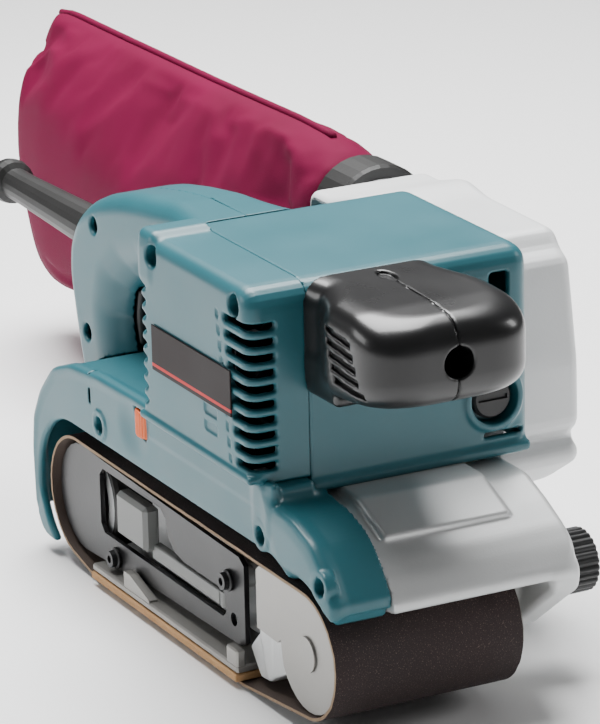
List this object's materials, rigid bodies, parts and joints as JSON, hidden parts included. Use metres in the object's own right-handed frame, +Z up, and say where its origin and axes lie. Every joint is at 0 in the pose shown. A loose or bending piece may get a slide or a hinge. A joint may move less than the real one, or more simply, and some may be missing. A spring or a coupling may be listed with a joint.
{
  "type": "handheld belt sander",
  "caption": "Handheld belt sander with a sanding belt on two rollers, a D-shaped rear handle, a front grip, a belt drive under a side cover and a cloth dust bag.",
  "frame": {"origin": "centre of the flat sole face of the sanding belt", "axes": "+X forward to the front roller and grip, +Y to the drive side with the cover and dust bag, +Z up"},
  "size_m": [0.5295, 0.1719, 0.16],
  "materials": {
    "teal_plastic": "satin moulded",
    "silver_casting": "silver painted die casting",
    "silver_plastic": "silver painted, fine texture",
    "black_plastic": "semi-gloss",
    "black_rubber": "matt",
    "black_steel": "black coated",
    "grey_steel": "plain sheet",
    "bright_steel": "ground",
    "copper": "turned",
    "laminated_iron": "varnished",
    "carbon": "matt",
    "brass": "pressed",
    "cork": "cut cork",
    "abrasive_cloth": "grit on cloth",
    "bag_cloth": "woven",
    "orange_plastic": "satin",
    "grey_plastic": "matt",
    "fibre_board": "circuit board"
  },
  "bodies": {
    "machine": {"belt_guard": "teal_plastic", "brush_cap": "black_plastic", "brush_holder_front": "brass", "brush_holder_rear": "brass", "carbon_brush_front": "carbon", "carbon_brush_rear": "carbon", "cord_guard": "black_rubber", "cork_pad": "cork", "drive_bearing_inner": "bright_steel", "drive_bearing_outer": "bright_steel", "drive_cover": "silver_plastic", "frame": "silver_casting", "front_grip": "black_plastic", "grip_screw": "bright_steel", "handle_left": "teal_plastic", "handle_right": "teal_plastic", "housing_cover": "teal_plastic", "housing_screw_front": "black_steel", "housing_screw_rear": "black_steel", "label_plate": "black_plastic", "lever_pin": "bright_steel", "motor_bearing_left": "bright_steel", "motor_bearing_right": "bright_steel", "motor_housing": "teal_plastic", "sanding_belt": "abrasive_cloth", "shoe_plate": "grey_steel", "side_plate": "black_steel", "side_plate_screw_front": "black_steel", "side_plate_screw_rear": "black_steel", "speed_control": "fibre_board", "stator": "laminated_iron", "switch_body": "black_plastic", "toothed_belt": "black_rubber"},
    "armature": {"motor_shaft": "bright_steel", "armature_core": "laminated_iron", "commutator": "copper", "cooling_fan": "black_plastic", "motor_pulley": "grey_steel"},
    "drive_roller": {"drive_roller_core": "silver_casting", "drive_roller_sleeve": "black_rubber", "drive_shaft": "bright_steel", "driven_pulley": "grey_steel"},
    "roller_slide": {"roller_bracket": "grey_steel", "front_axle": "bright_steel", "tension_spring": "bright_steel"},
    "front_roller": {"front_roller": "bright_steel", "front_bearing_left": "bright_steel", "front_bearing_right": "bright_steel"},
    "tension_lever": {"tension_lever": "grey_plastic"},
    "tracking_knob": {"tracking_knob": "black_plastic", "tracking_screw": "bright_steel"},
    "trigger": {"trigger": "black_plastic"},
    "lock_button": {"lock_button": "black_plastic"},
    "speed_dial": {"speed_dial": "orange_plastic"},
    "dust_bag": {"bag_collar": "black_rubber", "dust_bag": "bag_cloth"}
  },
  "joints": [
    {"name": "armature_spin", "type": "hinge", "parent": "machine", "child": "armature", "pos_m": [0.046, 0, 0.102], "axis": [0, 1, 0], "continuous": true},
    {"name": "drive_roller_spin", "type": "hinge", "parent": "machine", "child": "drive_roller", "pos_m": [-0.078, 0, 0.0288], "axis": [0, 1, 0], "continuous": true},
    {"name": "front_roller_spin", "type": "hinge", "parent": "roller_slide", "child": "front_roller", "pos_m": [0.112, 0, 0.0293], "axis": [0, 1, 0], "continuous": true},
    {"name": "roller_slide", "type": "slide", "parent": "machine", "child": "roller_slide", "axis": [-1, 0, 0], "range_m": [0, 0.008]},
    {"name": "tension_lever_swing", "type": "hinge", "parent": "machine", "child": "tension_lever", "pos_m": [0.04, -0.031, 0.0255], "axis": [0, 0, 1], "range_deg": [0, 75]},
    {"name": "tracking_knob_turn", "type": "hinge", "parent": "machine", "child": "tracking_knob", "pos_m": [0.104, 0.072, 0.04], "axis": [0, 1, 0], "range_deg": [-180, 180]},
    {"name": "trigger_pull", "type": "slide", "parent": "machine", "child": "trigger", "axis": [-1, 0, 0], "range_m": [0, 0.005], "stiffness_N_per_m": 400, "springref_m": -0.003},
    {"name": "lock_button_press", "type": "slide", "parent": "machine", "child": "lock_button", "axis": [0, -1, 0], "range_m": [0, 0.003], "stiffness_N_per_m": 300, "springref_m": -0.002},
    {"name": "speed_dial_turn", "type": "hinge", "parent": "machine", "child": "speed_dial", "pos_m": [-0.013, -0.0322, 0.079], "axis": [0, 0, 1], "range_deg": [-135, 135]},
    {"name": "dust_bag_swivel", "type": "hinge", "parent": "machine", "child": "dust_bag", "pos_m": [-0.068, 0.088, 0.128], "axis": [1, 0, 0], "range_deg": [-12, 12]}
  ],
  "couplings": [
    {"joint": "drive_roller_spin", "follows": "armature_spin", "ratio": 0.3846},
    {"joint": "front_roller_spin", "follows": "armature_spin", "ratio": 0.4023},
    {"joint": "tension_lever_swing", "follows": "roller_slide", "rad_per_m": 163}
  ]
}
